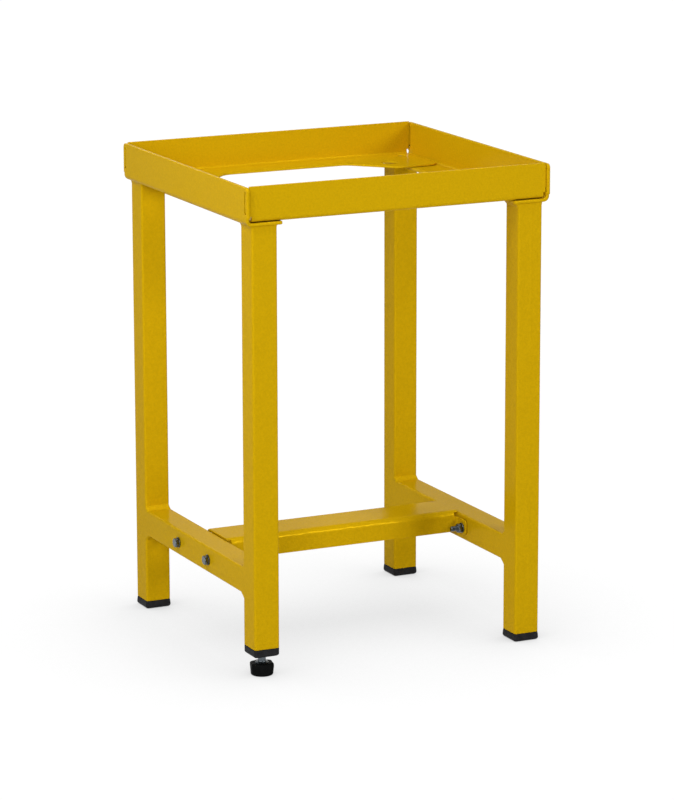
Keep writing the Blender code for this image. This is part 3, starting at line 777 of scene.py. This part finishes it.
def stretcher(finish):
    """Channel bent down along both edges, its four tabs bent out and drilled for the bolts."""
    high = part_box("stretcher")[1]
    top = high.z + STRETCHER_RISE
    middle = STRETCHER_BEND + SHEET / 2
    arc = middle * math.pi / 2
    tangent = STRETCHER_BEND + SHEET
    web = STRETCHER_WIDTH / 2 - tangent
    flange_edge = web + arc + STRETCHER_HEIGHT - tangent
    tab_top = flange_edge - TAB_HEIGHT
    tab_middle = TAB_BEND + SHEET / 2
    tab_start = high.x - TAB_BEND - SHEET
    tab_flat = tab_start + tab_middle * math.pi / 2 - STRETCHER_WIDTH / 2 - TAB_BEND
    tab_edge = tab_flat + high.y
    notch_in = tab_start - STRETCHER_NOTCH
    web_end = high.x + WEB_OVERLAP
    halves = {}
    for end, share in NOTCH_SHARES.items():
        notch_top = web + share * arc
        quarter = (
            (web_end, notch_top, 0),
            (notch_in, notch_top, STRETCHER_NOTCH),
            (notch_in, tab_top, STRETCHER_NOTCH),
            (tab_edge, tab_top, TAB_CORNER),
            (tab_edge, flange_edge, TAB_CORNER),
        )
        halves[end] = mirror_outline(quarter)
    outline = halves["rear"] + tuple((x, -y, radius) for x, y, radius in reversed(halves["front"]))
    bolt = node_centre("rear_right_bolt")
    bolt_down = flange_edge - (bolt.z - (top - STRETCHER_HEIGHT))
    bolt_along = tab_flat + bolt.y
    creases = []
    holes = []
    for end in ENDS.values():
        for (x1, y1), (x2, y2) in bend_creases(web, middle, -web_end, web_end):
            creases.append(((x1, end * y1), (x2, end * y2)))
        for side in SIDES.values():
            bore = circle(side * bolt_along, end * bolt_down, BOLT_DIAMETER / 2 + BORE_PLAY)
            holes.append((bore, bore))
            for (y1, x1), (y2, x2) in bend_creases(tab_start, tab_middle, tab_top, flange_edge):
                creases.append(((side * x1, end * y1), (side * x2, end * y2)))

    def fold(x, y, height):
        along = abs(x)
        if abs(y) > tab_top - MERGE and along > tab_start:
            past, lift = bend(along - tab_start, height, tab_middle)
            along = tab_start + past
            height = lift
        across, drop = bend(abs(y) - web, -height, middle)
        return Vector((math.copysign(along, x), math.copysign(web + across, y), top - drop - SHEET / 2))

    bm = folded_sheet(fillet_outline(outline), holes, creases, SHEET, SHEET_EDGE, fold)
    add_piece("stretcher_channel", bm, finish, ["stretcher"])


def lump(point):
    """Unevenness of a weld bead at a point."""
    return WELD_LUMP * noise.noise(point / WELD_LUMP_SIZE)


def flare(bead, depth):
    """How far a bead stands out at a depth from its joint."""
    width, length = bead
    return width * max(0, 1 - depth / length) ** WELD_CURVE


def weld_depths(*beads):
    """Depths from a joint at which welds get a ring, dense near their toes."""
    longest = max(length for _, length in beads)
    return [longest * (1 - (1 - k / WELD_ROWS) ** 2) for k in range(WELD_ROWS + 1)]


def leg(end, y_sign, side, x_sign, finish):
    """Leg tube with the beads that join it to the side flange."""
    name = f"{end}_{side}"
    centre = leg_centre(name)
    low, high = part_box(f"{name}_leg")
    top = high.z + SEAT_GAP
    bottom = low.z
    inner = INNER_BEADS[name]

    def swell(at, bead, depth, place):
        out = flare(bead, depth)
        if out == 0:
            return 0
        near_face = min(1, abs(at) / HALF_TUBE) ** WELD_FACE_POWER
        uneven = lump(place) * min(1, LEG_LUMP_ONSET * out / bead[0])
        return math.copysign(near_face * (out + uneven), at)

    def ring(z, inset=0.0, depth=math.inf):
        def put(x, y):
            place = Vector((centre.x + x, centre.y + y, z))
            place.x += swell(x, OUTER_BEAD if x * x_sign > 0 else inner, depth, place)
            if y * y_sign < 0:
                place.y += swell(y, CROSS_BEAD, depth, place)
            if name == SEAM_LEG and y < MERGE - HALF_TUBE and abs(x - SEAM_OFFSET) < SEAM_HALF:
                place.y -= SEAM_RISE
            return place

        wide = HALF_TUBE - inset
        return box_ring(-wide, wide, -wide, wide, TUBE_CORNER - inset, put)

    rings = [ring(bottom, TUBE_CUT_EDGE), ring(bottom + TUBE_CUT_EDGE)]
    for depth in reversed(weld_depths(OUTER_BEAD, inner, CROSS_BEAD)):
        rings.append(ring(top - depth, depth=depth))
    rings += [ring(z, TUBE_WALL) for z in (top, bottom)]
    add_piece(f"{name}_tube", skin(rings, closed=True), finish, [f"{name}_leg"])


def end_rail(side, finish):
    """End rail between two legs: its ends wrap their round corners and flare into the welds."""
    name = f"{side}_end_rail"
    centre = node_centre(name)
    face = leg_centre(f"rear_{side}").y - HALF_TUBE
    depths = weld_depths(RAIL_WELD_OVER, RAIL_WELD_UNDER)

    def wrap(x):
        past = min(max(abs(x) - (HALF_TUBE - TUBE_CORNER), 0), TUBE_CORNER)
        return TUBE_CORNER - math.sqrt(TUBE_CORNER**2 - past**2)

    def ring(end, depth, inset=0.0):
        share = depth / depths[-1]
        over = 0 if inset else flare(RAIL_WELD_OVER, depth)
        under = 0 if inset else flare(RAIL_WELD_UNDER, depth)

        def put(x, z):
            reach = face - depth + wrap(x) * (1 - share)
            place = Vector((centre.x + x, end * reach, centre.z + z))
            if abs(z) > HALF_TUBE - TUBE_CORNER:
                place.z += math.copysign(lump(place) * min(1, RAIL_LUMP_ONSET * (1 - share)), z)
            return place

        wide = HALF_TUBE - inset
        return box_ring(-wide, wide, -wide - under, wide + over, TUBE_CORNER - inset, put)

    rings = [ring(-1, depth) for depth in depths]
    rings += [ring(1, depth) for depth in reversed(depths)]
    rings += [ring(1, 0, TUBE_WALL), ring(-1, 0, TUBE_WALL)]
    add_piece(f"{name}_tube", skin(rings, closed=True), finish, [name])


def cap_rings(start, bulge):
    """Outside of a plastic plug, from its round bottom edge at the height start to the top of its ribs."""
    length = PLUG_TOP - CAP_TOP
    rib = HALF_TUBE - TUBE_WALL - SEAT_GAP
    core = rib - RIB_DEPTH
    corner = TUBE_CORNER - TUBE_WALL
    rings = []
    for angle in quarter_turn(CORNER_STEPS):
        half = HALF_TUBE + bulge - CAP_EDGE * (1 - math.sin(angle))
        rings.append(square_ring(half, TUBE_CORNER, start + CAP_EDGE * (1 - math.cos(angle))))
    shoulder = CAP_TOP - TUBE_CUT_EDGE
    for k in range(1, BULGE_STEPS):
        share = k / BULGE_STEPS
        half = HALF_TUBE + bulge * (1 - share**2)
        rings.append(square_ring(half, TUBE_CORNER, start + CAP_EDGE + (shoulder - CAP_EDGE) * share))
    for angle in quarter_turn(EDGE_STEPS):
        half = HALF_TUBE - TUBE_CUT_EDGE * (1 - math.cos(angle))
        rings.append(square_ring(half, TUBE_CORNER, start + shoulder + TUBE_CUT_EDGE * math.sin(angle)))
    rings.append(square_ring(core, corner, start + CAP_TOP))
    pitch = length / PLUG_RIBS
    for k in range(PLUG_RIBS):
        foot = start + CAP_TOP + k * pitch
        rings.append(square_ring(core, corner, foot + pitch / 2))
        rings.append(square_ring(rib, corner, foot + pitch / 2 + RIB_LIP))
        rings.append(square_ring(core, corner, foot + pitch))
    return rings


def end_cap(name, finish):
    """Hollow plug that closes the lower end of a leg and stands on the floor."""
    hollow = HALF_TUBE - TUBE_WALL - SEAT_GAP - RIB_DEPTH - PLUG_WALL
    corner = TUBE_CORNER - TUBE_WALL
    rings = cap_rings(0, CAP_BULGE)
    rings.append(square_ring(hollow, corner, PLUG_TOP))
    rings.append(square_ring(hollow, corner, CAP_FLOOR))
    centre = leg_centre(name)
    bm = turned(skin(rings), Matrix.Translation((centre.x, centre.y, 0)))
    add_piece(f"{name}_cap", bm, finish, [f"{name}_end_cap"])


def insert(finish):
    """Plug of the short leg, bored for the stud."""
    low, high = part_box("front_left_insert")
    bore = STUD_DIAMETER / 2 + SEAT_GAP
    rings = cap_rings(low.z, 0)
    rings += [bore_ring(rings[-1], bore, z) for z in (high.z, low.z)]
    centre = leg_centre("front_left")
    bm = turned(skin(rings, closed=True), Matrix.Translation((centre.x, centre.y, 0)))
    add_piece("front_left_plug", bm, finish, ["front_left_insert"])


def hex_bolt(head, length):
    """Hexagon bolt along Z: head above z = 0, shank below, threaded at its end."""
    shank = BOLT_DIAMETER / 2
    rings = [
        hex_ring(BOLT_FLATS, head, BOLT_FLATS * HEAD_FACE_SHARE),
        hex_ring(BOLT_FLATS, head - HEX_CHAMFER / 4, BOLT_FLATS * HEAD_EASE_SHARE),
        hex_ring(BOLT_FLATS, head - HEX_CHAMFER, BOLT_FLATS * HEX_CORNER_SHARE),
        hex_ring(BOLT_FLATS, 0),
        round_ring(shank, 0),
        round_ring(shank, BOLT_THREADED - length),
    ]
    rings += thread_rings(shank, BOLT_PITCH, BOLT_THREADED - length, BOLT_PITCH / 2 - length)
    rings.append(round_ring(shank - BOLT_PITCH * BOLT_TAPER_SHARE, -length))
    return skin(rings)


def washer(thick, outer):
    """Plain washer resting on z = 0, its punched edge slightly round."""
    bore = BOLT_DIAMETER / 2 + SEAT_GAP
    rings = [
        round_ring(bore, 0),
        round_ring(outer - WASHER_EDGE, 0),
        round_ring(outer, WASHER_EDGE),
        round_ring(outer, thick - WASHER_EDGE),
        round_ring(outer - WASHER_EDGE, thick),
        round_ring(bore, thick),
    ]
    return skin(rings, closed=True)


def hex_nut(flats, height, thread):
    """Hexagon nut resting on z = 0, chamfered on both faces and at its bore."""
    bore = thread / 2 + SEAT_GAP
    rings = [
        hex_ring(flats, 0, flats * NUT_FACE_SHARE),
        hex_ring(flats, HEX_CHAMFER, flats * HEX_CORNER_SHARE),
        hex_ring(flats, height / 2),
        hex_ring(flats, height - HEX_CHAMFER, flats * HEX_CORNER_SHARE),
        hex_ring(flats, height, flats * NUT_FACE_SHARE),
        round_ring(bore + HEX_CHAMFER, height),
        round_ring(bore, height - HEX_CHAMFER),
        round_ring(bore, HEX_CHAMFER),
        round_ring(bore + HEX_CHAMFER, 0),
    ]
    return skin(rings, closed=True)


def stretcher_fasteners(finish):
    """The four bolts with their washers and nuts, along X."""
    for end in ENDS:
        for side, sign in SIDES.items():
            name = f"{end}_{side}"
            kinds = {}
            for kind in ("bolt", "head_washer", "nut_washer", "nut"):
                low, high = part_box(f"{name}_{kind}")
                inner, outer = sorted((abs(low.x), abs(high.x)))
                kinds[kind] = (inner, outer, high.y - low.y)
            middle = node_centre(f"{name}_bolt")
            head_x = kinds["head_washer"][1] + SEAT_GAP
            inner, outer, _ = kinds["bolt"]
            made = {"bolt": (hex_bolt(outer - head_x, head_x - inner), head_x, sign)}
            for kind in ("head_washer", "nut_washer"):
                near, far, across = kinds[kind]
                made[kind] = (washer(far - near, across / 2), near, sign)
            near, far, _ = kinds["nut"]
            made["nut"] = (hex_nut(BOLT_FLATS, far - near, BOLT_DIAMETER), far, -sign)
            for kind, (bm, distance, facing) in made.items():
                turn = Matrix.Rotation(facing * math.pi / 2, 4, "Y")
                put = Matrix.Translation((sign * distance, middle.y, middle.z)) @ turn
                piece = f"{name}_{kind}"
                add_piece(f"{piece}_zinc", turned(bm, put), finish, [piece])


def tray_screws(finish):
    """Countersunk socket screws at the tray's corners, and the weld nuts that take them."""
    head = SCREW_HEAD / 2
    shank = SCREW_DIAMETER / 2
    for end in ENDS:
        for side in SIDES:
            name = f"{end}_{side}"
            low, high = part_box(f"{name}_tray_screw")
            length = high.z - low.z
            rings = [
                hex_ring(SCREW_SOCKET, -SOCKET_DEPTH),
                hex_ring(SCREW_SOCKET, -HEX_CHAMFER / 2),
                hex_ring(SCREW_SOCKET + HEX_CHAMFER, 0),
                round_ring(head - WASHER_EDGE, 0),
                round_ring(head, -WASHER_EDGE),
                round_ring(shank, shank - head - WASHER_EDGE),
            ]
            rings += thread_rings(shank, SCREW_PITCH, 2 * (shank - head), SCREW_PITCH / 2 - length)
            rings.append(round_ring(shank - SCREW_PITCH, -length))
            put = Matrix.Translation(((low.x + high.x) / 2, (low.y + high.y) / 2, high.z))
            piece = f"{name}_tray_screw"
            add_piece(f"{piece}_zinc", turned(skin(rings), put), finish, [piece])
            piece = f"{name}_weld_nut"
            low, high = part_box(piece)
            put = Matrix.Translation(((low.x + high.x) / 2, (low.y + high.y) / 2, low.z))
            bm = turned(hex_nut(high.x - low.x, high.z - low.z, SCREW_DIAMETER), put)
            add_piece(f"{piece}_zinc", bm, finish, [piece])


def foot_stud(put, finish):
    """Stud with its collar, a plain neck over the collar and a thread above it."""
    low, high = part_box("foot_stud")
    shank = STUD_DIAMETER / 2
    collar = (high.y - low.y) / 2
    collar_low = low.z + SPIGOT_DEPTH
    collar_high = collar_low + COLLAR_HEIGHT
    neck_high = collar_high + STUD_NECK
    rings = [
        round_ring(shank - WASHER_EDGE, low.z),
        round_ring(shank, low.z + WASHER_EDGE),
        round_ring(shank, collar_low),
        round_ring(collar - WASHER_EDGE, collar_low),
        round_ring(collar, collar_low + WASHER_EDGE),
        round_ring(collar - COLLAR_TAPER, collar_high - WASHER_EDGE),
        round_ring(collar - COLLAR_TAPER - WASHER_EDGE, collar_high),
        round_ring(shank + WASHER_EDGE, collar_high),
        round_ring(shank, collar_high + 2 * WASHER_EDGE),
        round_ring(shank, neck_high),
    ]
    rings += thread_rings(shank, STUD_PITCH, neck_high + STUD_PITCH / 2, high.z - STUD_PITCH)
    rings.append(round_ring(shank - STUD_PITCH, high.z))
    add_piece("foot_stud_zinc", turned(skin(rings), put), finish, ["foot_stud"], "stud")


def foot_base(put, finish):
    """Plastic base, a soft hexagon at the top and round at the floor, with the socket for the stud."""
    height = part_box("foot_base")[1].z
    socket = STUD_DIAMETER / 2 + SEAT_GAP

    def base_ring(z, inset):
        share = min(1, z / (height * BASE_ROUND_SHARE))
        ring = []
        for point in round_ring(1, 0):
            corner = soft_hexagon(BASE_FLATS, BASE_CORNER, math.atan2(point.y, point.x))
            radius = BASE_FLATS / 2 * (1 - share) + corner * share - inset
            ring.append(Vector((point.x * radius, point.y * radius, z)))
        return ring

    rings = []
    for angle in quarter_turn(EDGE_STEPS):
        rings.append(base_ring(BASE_EDGE * (1 - math.cos(angle)), BASE_EDGE * (1 - math.sin(angle))))
    rings.append(base_ring(height * BASE_ROUND_SHARE, 0))
    for angle in quarter_turn(EDGE_STEPS):
        z = height - BASE_TOP_EDGE * (1 - math.sin(angle))
        rings.append(base_ring(z, BASE_TOP_EDGE * (1 - math.cos(angle))))
    rings.append(round_ring(socket, height))
    rings.append(round_ring(socket, height - SPIGOT_DEPTH - SEAT_GAP))
    base = turned(skin(rings), put @ Matrix.Rotation(BASE_TURN, 4, "Z"))
    add_piece("foot_base_moulding", base, finish, ["foot_base"], "base")


def seen_rays(tree):
    """One for the rays that show a surface: from the camera, a reflection or a clear body."""
    path = node(tree, "ShaderNodeLightPath")
    sent = path.outputs["Is Camera Ray"]
    for kind in ("Is Glossy Ray", "Is Transmission Ray"):
        either = node(tree, "ShaderNodeMath", operation="MAXIMUM")
        tree.links.new(sent, either.inputs[0])
        tree.links.new(path.outputs[kind], either.inputs[1])
        sent = either.outputs[0]
    return sent


def floor():
    """White floor whose glow darkens softly close to the stand by its occlusion: a painted shadow."""
    bm = bmesh.new()
    bmesh.ops.create_grid(bm, x_segments=FLOOR_CELLS, y_segments=FLOOR_CELLS, size=FLOOR_SIZE)
    mesh = bpy.data.meshes.new("studio_floor")
    bm.to_mesh(mesh)
    bm.free()
    plane = add_object("studio_floor", mesh)
    made, tree, shader = new_material("studio_floor")
    tree.nodes.remove(shader)
    output = tree.nodes["Material Output"]
    # Painted shadow: the glow's strength follows the floor's occlusion
    shade = node(tree, "ShaderNodeAmbientOcclusion", samples=SHADOW_SAMPLES, distance=SHADOW_REACH)
    level = node(tree, "ShaderNodeMapRange", to_min=SHADOW_LEVEL, to_max=FLOOR_WHITE)
    tree.links.new(shade.outputs["AO"], level.inputs["Value"])
    glow = node(tree, "ShaderNodeEmission", color=(1, 1, 1, 1))
    tree.links.new(level.outputs["Result"], glow.inputs["Strength"])
    bounce = node(tree, "ShaderNodeBsdfDiffuse", color=(FLOOR_BOUNCE, FLOOR_BOUNCE, FLOOR_BOUNCE, 1))
    mix = node(tree, "ShaderNodeMixShader")
    tree.links.new(seen_rays(tree), mix.inputs[0])
    tree.links.new(bounce.outputs[0], mix.inputs[1])
    tree.links.new(glow.outputs[0], mix.inputs[2])
    tree.links.new(mix.outputs[0], output.inputs["Surface"])
    mesh.materials.append(made)


def studio():
    """Even world light that reflects as a pale room with a bright backdrop, and the softboxes."""
    world = bpy.data.worlds.new("studio")
    bpy.context.scene.world = world
    world.use_nodes = True
    tree = world.node_tree
    coords = node(tree, "ShaderNodeTexCoord")
    facing = node(tree, "ShaderNodeVectorMath", operation="DOT_PRODUCT")
    facing.inputs[1].default_value = Vector(BACKDROP_SIDE).normalized()
    tree.links.new(coords.outputs["Generated"], facing.inputs[0])
    room = node(
        tree,
        "ShaderNodeMapRange",
        interpolation_type="SMOOTHSTEP",
        from_min=BACKDROP_EDGE[0],
        from_max=BACKDROP_EDGE[1],
        to_min=ROOM_LEVEL,
        to_max=BACKDROP_LEVEL,
    )
    tree.links.new(facing.outputs["Value"], room.inputs["Value"])
    level = node(tree, "ShaderNodeMapRange", to_min=SKY_LEVEL)
    tree.links.new(seen_rays(tree), level.inputs["Value"])
    tree.links.new(room.outputs["Result"], level.inputs["To Max"])
    tree.links.new(level.outputs["Result"], tree.nodes["Background"].inputs["Strength"])
    tree.nodes["Background"].inputs["Color"].default_value = (1, 1, 1, 1)
    for name, place, target, size, power in LAMPS:
        lamp = bpy.data.lights.new(name, "AREA")
        lamp.shape = "RECTANGLE"
        lamp.size, lamp.size_y = size
        lamp.energy = power
        holder = add_object(name, lamp)
        holder.location = place
        aim = Vector(target) - Vector(place)
        holder.rotation_euler = aim.to_track_quat("-Z", "Y").to_euler()


def camera():
    """The photograph's camera."""
    data = bpy.data.cameras.new("photo_camera")
    data.sensor_width = SENSOR_WIDTH
    data.lens = FOCAL_PIXELS / PHOTO_HEIGHT * SENSOR_WIDTH
    data.shift_x = (PHOTO_WIDTH / 2 - CENTRE_PIXEL[0]) / PHOTO_HEIGHT
    data.shift_y = (CENTRE_PIXEL[1] - PHOTO_HEIGHT / 2) / PHOTO_HEIGHT
    data.clip_end = CLIP_END
    holder = add_object("photo_camera", data)
    holder.location = CAMERA_PLACE
    tilt = Euler((math.pi / 2 - CAMERA_PITCH, 0, -CAMERA_YAW), "XYZ").to_matrix()
    holder.rotation_euler = (tilt @ Matrix.Rotation(CAMERA_ROLL, 3, "Z")).to_euler()
    bpy.context.scene.camera = holder


def main():
    """Dress the frame, light it and place the camera."""
    bpy.context.scene.view_settings.view_transform = "Standard"
    paint = yellow_paint()
    zinc = zinc_plate("zinc_plate", ZINC_COLOURS)
    # The tray screws' zinc is near black: painted shade for their seat down in the countersinks
    zinc_painted_shade = zinc_plate("zinc_painted_shade", ZINC_PAINTED_SHADE_COLOURS)
    plastic = black_plastic("black_plastic", PLASTIC_COLOURS, PLASTIC_IOR)
    dull_plastic = black_plastic("dull_plastic", DULL_PLASTIC_COLOURS, DULL_PLASTIC_IOR)
    for side, x_sign in SIDES.items():
        side_angle(side, x_sign, paint)
        end_rail(side, paint)
        for end, y_sign in ENDS.items():
            leg(end, y_sign, side, x_sign, paint)
    for end, sign in ENDS.items():
        tray_rail(end, sign, paint)
    stretcher(paint)
    stretcher_fasteners(zinc)
    tray_screws(zinc_painted_shade)
    for name in ("front_right", "rear_left", "rear_right"):
        end_cap(name, plastic)
    insert(plastic)
    axis = leg_centre("front_left")
    foot_place = Matrix.Translation((axis.x, axis.y, 0))
    foot_stud(foot_place, zinc)
    foot_base(foot_place, dull_plastic)
    floor()
    studio()
    camera()


main()
